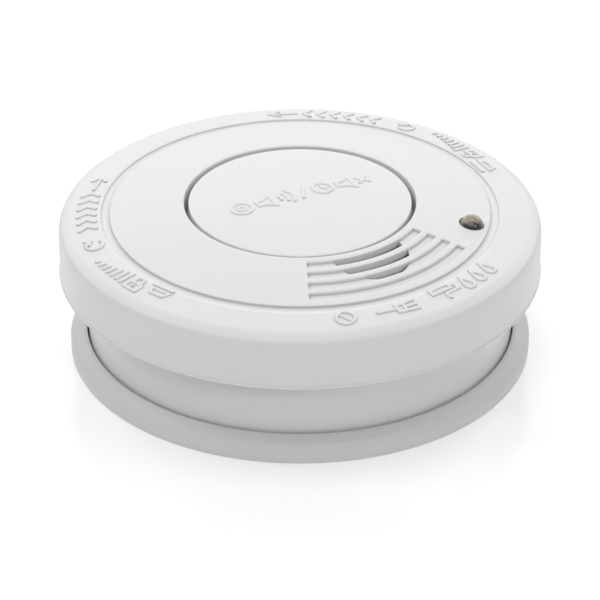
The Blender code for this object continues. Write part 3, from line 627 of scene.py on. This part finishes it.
def cover_inside():
    """Screw bosses, the bridge that carries the button's spring, and the horn round the sound hole."""
    pieces = []
    for n, xy in enumerate(COVER_SCREWS):
        pieces.append(cylinder(f"boss_{n}", xy, BOSS_R, BOSS_LOW, RIM_Z - SKIN / 2))
    reach = (LEDGE_R + OPENING_R) / 2
    low, high = (-reach, -BRIDGE_HALF_WIDTH, BRIDGE_LOW), (reach, BRIDGE_HALF_WIDTH, BRIDGE_TOP)
    pieces.append(block("bridge", low, high, BRIDGE_ANGLE))
    for n, angle in enumerate((BRIDGE_ANGLE, BRIDGE_ANGLE + 180)):
        pillar = (PILLAR_INNER_R, PILLAR_OUTER_R, angle - PILLAR_HALF, angle + PILLAR_HALF)
        pieces.append(sector(f"pillar_{n}", *pillar, BRIDGE_LOW, LEDGE_TOP - 0.2))
    outer = HORN_R + HORN_WALL
    ring = [(outer, DISC_Z), (outer, LEDGE_LOW), (HORN_R, LEDGE_LOW), (HORN_R, DISC_Z)]
    horn = shifted(lathe("horn", ring, even_angles(64), under_dome(SKIN / 2)), SOUND_XY)
    return [*pieces, combine(horn, "DIFFERENCE", [collar_room(-0.3)])]


def sound_hole_shade_disc():
    """A dark disc just under the ribs, across the horn: painted shade that makes the sound hole black
    below its ribs.
    """
    edge_r, low = HORN_R - 0.2, DISC_Z - SHADE_DISC_THICKNESS
    disc = [(0, DISC_Z), (edge_r, DISC_Z), (edge_r, low), (0, low)]
    gauze = lathe("sound_hole_shade_disc", disc, even_angles(64), under_dome(RIB_THICKNESS + 0.05))
    return combine(shifted(gauze, SOUND_XY), "DIFFERENCE", [collar_room(0.15)])


def front_cover():
    cover = lathe("cover_shell", cover_outline(), cover_angles(), cover_lift)
    combine(cover, "UNION", cover_inside())
    cutters = [sound_hole_cutter(f"sound_{n}", *radii) for n, radii in enumerate(SLOT_RADII[:3], 1)]
    edge_r, low = HORN_R - 0.1, LEDGE_TOP - 0.4
    recess = [(0, DISC_Z), (edge_r, DISC_Z), (edge_r, low), (0, low)]
    thin = shifted(lathe("thin_ribs", recess, even_angles(64), under_dome(RIB_THICKNESS)), SOUND_XY)
    cutters.append(combine(thin, "DIFFERENCE", [collar_room(0.1)]))
    cutters.append(cylinder("lamp_hole", LED_XY, LED_R + LAMP_ROOM, 28, 35, 64))
    cutters.append(cylinder("post_guide", POST_XY, POST_R + 0.5, 24, 27.2))
    for n, xy in enumerate(COVER_SCREWS):
        cutters.append(cylinder(f"boss_bore_{n}", xy, BOSS_BORE_R, BOSS_LOW - 1, BOSS_BORE_TOP))
    return combine(cover, "DIFFERENCE", cutters)


# Test button and its spring


def test_button():
    inner_r = BUTTON_R - BUTTON_WALL
    crown = [(BUTTON_R * i / 12, crown_z(BUTTON_R * i / 12)) for i in range(12)]
    side = filleted(
        [
            (0, BUTTON_TOP, 0),
            (BUTTON_R, BUTTON_EDGE_Z, 0.3),
            (BUTTON_R, BUTTON_LOW, 0.2),
            (inner_r, BUTTON_LOW, 0.2),
            (inner_r, BUTTON_ROOF_Z, 0.3),
            (0, BUTTON_ROOF_Z, 0),
        ]
    )
    cap = lathe("test_button_cap", crown + side[1:])
    stems = [cylinder("button_post", POST_XY, POST_R, POST_LOW, BUTTON_ROOF_Z + 0.5)]
    for n, angle in enumerate(CATCH_ANGLES):
        span = (angle - CATCH_HALF, angle + CATCH_HALF)
        leg = (CATCH_R, CATCH_OUTER_R, *span, BARB_TOP - 1.2, BUTTON_ROOF_Z + 0.5)
        stems.append(sector(f"catch_leg_{n}", *leg))
        stems.append(sector(f"catch_barb_{n}", CATCH_R + 0.3, BARB_R, *span, BARB_TOP - 1.1, BARB_TOP))
    return combine(cap, "UNION", stems)


def button_spring():
    """A compression spring with a flat turn at each end."""
    (x, y), low, high = place_of("button_spring")
    wire, coil_r, turns, flat_turns, per_turn = 0.35, 4.0, 6, 0.8, 24
    first, last = smooth_step(0.25), smooth_step(0.75)
    path = []
    for i in range(turns * per_turn + 1):
        share = (i / per_turn - flat_turns) / (turns - 2 * flat_turns)
        rise = (smooth_step(share * 0.5 + 0.25) - first) / (last - first)
        dx, dy = polar(coil_r, 360 * i / per_turn)
        path.append((x + dx, y + dy, low + wire + (high - low - 2 * wire) * min(max(rise, 0.0), 1.0)))
    return tube("button_coil_spring", path, wire)


# Rear case


def rear_case():
    outline = filleted(
        [
            (0, FLOOR_TOP, 0),
            (DRUM_INNER_R, FLOOR_TOP, 0.3),
            (DRUM_INNER_R, DRUM_TOP, 0.2),
            (DRUM_R, DRUM_TOP, 0.3),
            (DRUM_R, DRUM_LOW, 0.4),
            (DRUM_INNER_R, DRUM_LOW, 0.2),
            (DRUM_INNER_R, FLOOR_LOW, 0.2),
            (0, FLOOR_LOW, 0),
        ]
    )
    drum = lathe("rear_drum", outline)
    sunk, middle_r = FLOOR_TOP - 0.2, (DRUM_INNER_R + DRUM_R) / 2
    pieces = []
    for n, angle in enumerate(HOOK_ANGLES):
        span = (angle - TAB_HALF, angle + TAB_HALF)
        pieces.append(sector(f"tab_{n}", TAB_R, middle_r, *span, TAB_LOW, TAB_TOP))
    walls_low = (BAY_LOW[0] - BAY_WALL, BAY_LOW[1] - BAY_WALL, sunk)
    pieces.append(block("bay_walls", walls_low, [value + BAY_WALL for value in BAY_HIGH]))
    for n, xy in enumerate(COVER_SCREWS):
        pieces.append(cylinder(f"cover_post_{n}", xy, COVER_POST_R, sunk, POST_TOP))
    for n, xy in enumerate(BOARD_SCREWS):
        pieces.append(cylinder(f"standoff_{n}", xy, STANDOFF_R, sunk, POST_TOP - GAP))
    combine(drum, "UNION", pieces)
    cutters = [block("bay_room", (*BAY_LOW, FLOOR_LOW - 1), BAY_HIGH)]
    cutters.append(block("notch", NOTCH_LOW, NOTCH_HIGH))
    shank = [(0, POST_TOP + 2), (SHANK_ROOM_R, POST_TOP + 2), (SHANK_ROOM_R, HEAD_SEAT_Z)]
    head = [(HEAD_ROOM_R, HEAD_SEAT_Z), (HEAD_ROOM_R, FLOOR_LOW - 0.8), (0, FLOOR_LOW - 0.8)]
    for n, xy in enumerate(COVER_SCREWS):
        cutters.append(shifted(lathe(f"screw_seat_{n}", shank + head, even_angles(32)), xy))
    for n, xy in enumerate(BOARD_SCREWS):
        bore = (STANDOFF_BORE_R, FLOOR_TOP + 0.1, POST_TOP + 1)
        cutters.append(cylinder(f"standoff_bore_{n}", xy, *bore))
    for n in range(WINDOWS):
        middle = 360 * (n + 0.5) / WINDOWS
        window = (DRUM_INNER_R - 1, DRUM_R + 1, middle - WINDOW_HALF, middle + WINDOW_HALF)
        cutters.append(sector(f"window_{n}", *window, WINDOW_LOW, WINDOW_TOP))
    return combine(drum, "DIFFERENCE", cutters)


# Ceiling plate


def stadium(x, reach, half):
    """Outline of a round-ended slot that runs along Y."""
    far = [(x + dx, reach + dy) for dx, dy in arc(half, 0, 180, 15)]
    return far + [(x + dx, -reach + dy) for dx, dy in arc(half, 180, 360, 15)]


def ceiling_plate():
    outline = filleted(
        [
            (LIP_R, LIP_Z, 0.12),
            (LIP_R + 0.7, LIP_Z, 0.6),
            (PLATE_R - 1.1, 3.95, 2.0),
            (PLATE_R, 2.6, 0.25),
            (PLATE_R, 0.0, 0.35),
            (CABLE_HOLE_R, 0.0, 0.3),
            (CABLE_HOLE_R, WEB_Z, 0.3),
            (LIP_R, WEB_Z, 0.2),
        ]
    )
    plate = lathe("ceiling_plate", outline)
    pieces = []
    for n, angle in enumerate(HOOK_ANGLES):
        start, end = angle - HOOK_HALF, angle + HOOK_HALF
        back = start - STOP_WIDTH
        leg = arc(HOOK_LEDGE_R, back, start) + arc(HOOK_LEG_R, start, end) + arc(HOOK_R, end, back)
        pieces.append(prism(f"hook_post_{n}", leg, WEB_Z / 2, HOOK_TOP))
        pieces.append(sector(f"hook_{n}", HOOK_R, HOOK_LEDGE_R, back, end, HOOK_LEDGE_LOW, HOOK_TOP))
    low, high = 1.0, WEB_Z + 0.5
    collar = [(HOLE_COLLAR_R, high), (HOLE_COLLAR_R, low), (CABLE_HOLE_R, low), (CABLE_HOLE_R, high)]
    pieces.append(lathe("hole_collar", collar))
    combine(plate, "UNION", pieces)
    cutters = []
    for side in (-1, 1):
        x = side * FIXING_X
        cutters.append(prism(f"fixing_{side}", stadium(x, FIXING_REACH, FIXING_HALF), -1, 3))
        seat = stadium(x, FIXING_REACH, FIXING_HALF + FIXING_SEAT)
        cutters.append(prism(f"fixing_seat_{side}", seat, WEB_Z - FIXING_SEAT_DEPTH, 3))
    for n in range(EJECTORS):
        turn = 360 / EJECTORS * (n + 0.5)
        cutters.append(cylinder(f"ejector_{n}", polar(22.0, turn), 2.0, WEB_Z - EJECTOR_DEPTH, 3))
        cutters.append(cylinder(f"back_ejector_{n}", polar(36.0, turn), 2.5, -1, 0.12))
    return combine(plate, "DIFFERENCE", cutters)


# Indicator lamp: a tan lens with a painted grey shade patch, over a small dark cup, a post and a pale
# floor


def lamp_lens():
    quarter = [polar(LED_R, 90 - 5 * i) for i in range(1, 19)]
    dome = [(0, LED_TOP)] + [(x, LENS_TOP + rise) for x, rise in quarter]
    flange = [(LED_FLANGE_R, FLANGE_TOP), (LED_FLANGE_R, LED_LOW), (0, LED_LOW)]
    outline = dome + [(LED_R, FLANGE_TOP + 0.1)] + flange
    return shifted(lathe("lamp_lens", outline, even_angles(64)), LED_XY)


def lamp_cup():
    """The lead frame: a small cup on a broad post that fills the far half of the resin."""
    bowl_z, foot_z = LENS_TOP - 0.5, LENS_TOP - CUP_DEPTH
    bowl = [(0.4, bowl_z), (CUP_R - 0.15, LENS_TOP), (CUP_R, LENS_TOP - 0.1)]
    foot = [(CUP_R - 0.1, foot_z), (0, foot_z), (0, bowl_z)]
    post = sector("post", 0.3, RESIN_FLOOR_R - 0.1, 12, 168, FLANGE_TOP + 0.2, LENS_TOP - 0.35)
    cup = lathe("lamp_cup", bowl + foot, even_angles(40))
    return shifted(combine(cup, "UNION", [post]), LED_XY)


def lamp_base():
    """The pale floor of the resin, in front of the post and under it."""
    near = sector("near", 0.3, RESIN_FLOOR_R, 180, 360, LED_LOW + 0.4, LENS_TOP - 1.3)
    low, high = LED_LOW + 0.3, FLANGE_TOP + 0.1
    disc = [(0, high), (RESIN_FLOOR_R, high), (RESIN_FLOOR_R, low), (0, low)]
    return shifted(combine(lathe("lamp_base", disc, even_angles(40)), "UNION", [near]), LED_XY)


# Finishes


def node_of(material, kind, **inputs):
    node = material.node_tree.nodes.new(kind)
    for name, value in inputs.items():
        node.inputs[name.replace("_", " ")].default_value = value
    return node


def colour_mix(material, first, second):
    node = material.node_tree.nodes.new("ShaderNodeMix")
    node.data_type = "RGBA"
    node.inputs["A"].default_value = (*first, 1)
    node.inputs["B"].default_value = (*second, 1)
    return node


def vector_step(material, operation, value=None):
    node = material.node_tree.nodes.new("ShaderNodeVectorMath")
    node.operation = operation
    if value is not None:
        node.inputs[1].default_value = value
    return node


def moulded(name, colour, roughness, grain=0.02, coat=0.0, metallic=0.0, crevice=None):
    """Moulded surface: faint colour drift, uneven gloss, a fine grain, and painted shade darkening
    crevices.
    """
    material = bpy.data.materials.new(name)
    material.use_nodes = True
    links = material.node_tree.links
    shader = material.node_tree.nodes["Principled BSDF"]
    shader.inputs["Metallic"].default_value = metallic
    shader.inputs["Coat Weight"].default_value = coat
    shader.inputs["Coat Roughness"].default_value = 0.2
    place = node_of(material, "ShaderNodeTexCoord")
    drift = node_of(material, "ShaderNodeTexNoise", Scale=45.0, Detail=3.0)
    fine = node_of(material, "ShaderNodeTexNoise", Scale=2600.0, Detail=2.0)
    links.new(place.outputs["Object"], drift.inputs["Vector"])
    links.new(place.outputs["Object"], fine.inputs["Vector"])
    darker, lighter = [value * 0.985 for value in colour], [min(value * 1.015, 1) for value in colour]
    tint = colour_mix(material, darker, lighter)
    links.new(drift.outputs["Fac"], tint.inputs["Factor"])
    # Painted shade: ambient occlusion pulls the colour towards a lavender grey in corners, gaps and
    # slots.
    if crevice:
        open_sides = node_of(material, "ShaderNodeAmbientOcclusion", Distance=CREVICE_SHADE_REACH * MM)
        open_sides.samples = 6
        corner_shade = colour_mix(material, crevice, colour)
        links.new(open_sides.outputs["AO"], corner_shade.inputs["Factor"])
        links.new(tint.outputs["Result"], corner_shade.inputs["B"])
        tint = corner_shade
    links.new(tint.outputs["Result"], shader.inputs["Base Color"])
    gloss = node_of(material, "ShaderNodeMapRange", To_Min=roughness * 0.88, To_Max=roughness * 1.12)
    links.new(fine.outputs["Fac"], gloss.inputs["Value"])
    links.new(gloss.outputs["Result"], shader.inputs["Roughness"])
    bump = node_of(material, "ShaderNodeBump", Strength=0.35, Distance=grain * MM)
    links.new(fine.outputs["Fac"], bump.inputs["Height"])
    links.new(bump.outputs["Normal"], shader.inputs["Normal"])
    return material


def clear_resin(name, colour):
    material = moulded(name, colour, 0.03, grain=0.0)
    shader = material.node_tree.nodes["Principled BSDF"]
    shader.inputs["Transmission Weight"].default_value = 1.0
    shader.inputs["IOR"].default_value = 1.5
    return material


def lamp_resin_painted_shade():
    """Tan resin, with a grey patch low on the side towards the grille: painted shade standing in for the
    dark lower half that a clear lens shows.
    """
    material = moulded("lamp_resin_painted_shade", (0.5, 0.5, 0.5), 0.03, grain=0.0)
    links = material.node_tree.links
    shader = material.node_tree.nodes["Principled BSDF"]
    shader.inputs["Transmission Weight"].default_value = 0.3
    shader.inputs["IOR"].default_value = 1.65
    patch = Vector((LED_XY[0], LED_XY[1] - LED_R, LED_TOP - 0.8 * LED_R)) * MM
    place = node_of(material, "ShaderNodeTexCoord")
    offset = vector_step(material, "SUBTRACT", patch)
    squeeze = vector_step(material, "MULTIPLY", (0.6, 1.0, 1.0))
    reach = vector_step(material, "LENGTH")
    fade = node_of(material, "ShaderNodeMapRange", From_Min=SHADE_PATCH_NEAR * MM, From_Max=SHADE_PATCH_FAR * MM)
    tint = colour_mix(material, LAMP_SHADE_GREY, TAN)
    links.new(place.outputs["Object"], offset.inputs[0])
    links.new(offset.outputs["Vector"], squeeze.inputs[0])
    links.new(squeeze.outputs["Vector"], reach.inputs[0])
    links.new(reach.outputs["Value"], fade.inputs["Value"])
    links.new(fade.outputs["Result"], tint.inputs["Factor"])
    links.new(tint.outputs["Result"], shader.inputs["Base Color"])
    return material


COVER = moulded("cover_satin", WHITE, 0.42, crevice=CREVICE_SHADE)
BUTTON = moulded("button_satin", WHITE, 0.40, crevice=CREVICE_SHADE)
BUTTON_SIGNS = moulded("button_sign_satin", WHITE, 0.40)
CASE = moulded("case_gloss", (0.81, 0.81, 0.815), 0.25)
PLATE = moulded("plate_satin", (0.73, 0.73, 0.735), 0.5)
INNER = moulded("inner_plastic", (0.70, 0.70, 0.70), 0.5)
DARK = moulded("dark_plastic", (0.03, 0.03, 0.032), 0.5)
# Near black: partly the sounder's own plastic, partly painted shade in the sound hole.
SOUNDER_DARK_AND_SHADE = moulded("sounder_plastic_and_shade", (0.06, 0.06, 0.065), 0.55)
LENS = clear_resin("lens_resin", (0.93, 0.88, 0.78))
LAMP = lamp_resin_painted_shade()
# The cup's dark grey is painted shade too, seen through the lens.
CUP = moulded("lamp_reflector", LAMP_SHADE_GREY, 0.35)
FOOT = moulded("lamp_foot", (0.62, 0.54, 0.40), 0.5)
STEEL = moulded("zinc_steel", (0.6, 0.6, 0.61), 0.3, metallic=1.0)
BRASS = moulded("brass_sheet", (0.72, 0.52, 0.22), 0.35, metallic=1.0)
CERAMIC = moulded("silvered_ceramic", (0.75, 0.72, 0.66), 0.55)
BOARD = moulded("solder_mask", (0.02, 0.16, 0.07), 0.35, coat=0.3)
SLEEVE = moulded("can_sleeve", (0.05, 0.06, 0.1), 0.35)
JACKET = moulded("battery_jacket", (0.08, 0.09, 0.12), 0.3, coat=0.3)
MESH = moulded("screen_wire", (0.35, 0.35, 0.36), 0.45, metallic=0.8)
RED = moulded("red_sleeve", (0.5, 0.02, 0.02), 0.4)
BLACK = moulded("black_sleeve", (0.02, 0.02, 0.02), 0.4)


def dress(obj, body, material, slot, *nodes):
    """Give a new piece its finish and its body, and hide the CAD nodes that it stands for."""
    obj.data.materials.clear()
    obj.data.materials.append(material)
    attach(obj, body)
    if nodes:
        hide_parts(*nodes)
    return obj


def repaint_frame():
    """Finish the CAD nodes that stay, by the slot that the record gives them."""
    finishes = {
        "cover_white": COVER,
        "button_white": BUTTON,
        "case_white": CASE,
        "plate_white": PLATE,
        "inner_white": INNER,
        "black_abs": DARK,
        "insect_mesh": MESH,
        "clear_epoxy": LENS,
        "steel": STEEL,
        "brass": BRASS,
        "ceramic": CERAMIC,
        "board_green": BOARD,
        "can_sleeve": SLEEVE,
        "battery_jacket": JACKET,
        "red_insulation": RED,
        "black_insulation": BLACK,
    }
    for entry in frame["record"]["subparts"]:
        node = frame["nodes"][entry["node"]]
        node.data.materials.clear()
        node.data.materials.append(finishes[entry["material_slot"]])
    # The sounder housing gets a near-black finish: partly its own dark plastic, partly painted shade
    # deep in the sound hole.
    frame["nodes"]["sounder_housing"].data.materials[0] = SOUNDER_DARK_AND_SHADE


# Stage, in metres and watts


def look_at(obj, target):
    obj.rotation_euler = (Vector(target) - obj.location).to_track_quat("-Z", "Y").to_euler()


def softbox(name, place, target, width, height, power, tint=(1, 1, 1)):
    light = bpy.data.lights.new(name, "AREA")
    light.shape = "RECTANGLE"
    light.size, light.size_y = width, height
    light.energy = power
    light.color = tint
    obj = bpy.data.objects.new(name, light)
    obj.location = place
    look_at(obj, target)
    bpy.context.scene.collection.objects.link(obj)
    return obj


SIDE_LIGHTS = [  # mirrored left and right: name, place, width, height, watts left, watts right
    ("side_high", (0.7, 0.0, 0.9), 0.6, 0.6, 2.5, 1.7),
    ("back_corner", (0.8, 0.8, 0.5), 0.6, 0.6, 2.4, 2.4),
    ("side", (1.0, 0.0, 0.5), 0.8, 0.8, 0.2, 0.25),
]
MIDDLE_LIGHTS = [
    ("overhead", (0.0, 0.0, 1.0), 0.6, 0.6, 2.0),
    ("overhead_front", (-0.2, -0.7, 0.9), 1.2, 0.6, 4.1),
    ("front_right", (0.74, -0.95, 0.68), 0.26, 0.26, 2.0),
    ("overhead_back", (0.0, 0.7, 0.9), 1.2, 0.6, 2.2),
    ("back", (0.0, 1.1, 0.45), 1.5, 0.5, 3.5),
    ("back_low", (0.0, 1.2, 0.15), 1.6, 0.25, 0.6),
]
WARM, COOL = (1.0, 0.965, 0.92), (0.96, 0.98, 1.0)
LAVENDER = (0.9, 0.88, 1.0)
FLOOR_GLOW, BACKDROP_GLOW = 0.19, 0.04
FLOOR_REACH = 3000.0
CAMERA_PLACE, CAMERA_DOWN, FOCAL_LENGTH = (0.0, -0.5202, 0.3169), 30.61, 171.1


def backdrop():
    """A faint cool glow all round, which fills the deepest gaps."""
    world = bpy.data.worlds.new("studio")
    world.use_nodes = True
    background = world.node_tree.nodes["Background"]
    background.inputs["Color"].default_value = (*LAVENDER, 1)
    background.inputs["Strength"].default_value = BACKDROP_GLOW
    bpy.context.scene.world = world


def studio():
    bpy.context.scene.view_settings.view_transform = "Standard"
    backdrop()
    middle = (0.0, 0.0, 0.015)
    for name, place, width, height, power in MIDDLE_LIGHTS:
        softbox(name, place, middle, width, height, power)
    for name, (x, y, z), width, height, left, right in SIDE_LIGHTS:
        softbox(f"{name}_left", (-x, y, z), middle, width, height, left, WARM)
        softbox(f"{name}_right", (x, y, z), middle, width, height, right, COOL)

    shape = bmesh.new()
    bmesh.ops.create_grid(shape, x_segments=2, y_segments=2, size=FLOOR_REACH)
    floor = finished("floor", shape)
    material = moulded("floor_white", (0.95, 0.95, 0.95), 0.10, grain=0.0)
    shader = material.node_tree.nodes["Principled BSDF"]
    shader.inputs["Emission Color"].default_value = (1, 1, 1, 1)
    shader.inputs["Emission Strength"].default_value = FLOOR_GLOW
    floor.data.materials.append(material)


def camera():
    view = bpy.data.cameras.new("camera")
    view.sensor_width = 36.0
    view.lens = FOCAL_LENGTH
    obj = bpy.data.objects.new("camera", view)
    obj.location = CAMERA_PLACE
    obj.rotation_euler = (math.radians(90 - CAMERA_DOWN), 0, 0)
    bpy.context.scene.collection.objects.link(obj)
    bpy.context.scene.camera = obj


repaint_frame()
dress(front_cover(), "head", COVER, "cover_white", "front_cover")
dress(cover_marks(), "head", COVER, "cover_white")
dress(sound_hole_shade_disc(), "head", DARK, "black_abs")
dress(test_button(), "button", BUTTON, "button_white", "test_button")
dress(button_marks(), "button", BUTTON_SIGNS, "button_white")
dress(rear_case(), "head", CASE, "case_white", "rear_case")
dress(ceiling_plate(), "plate", PLATE, "plate_white", "mounting_plate")
dress(lamp_lens(), "head", LAMP, "clear_epoxy", "status_led")
dress(lamp_cup(), "head", CUP, "steel")
dress(lamp_base(), "head", FOOT, "black_abs")
spring = dress(button_spring(), "head", STEEL, "steel", "button_spring")
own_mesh(spring)
studio()
camera()
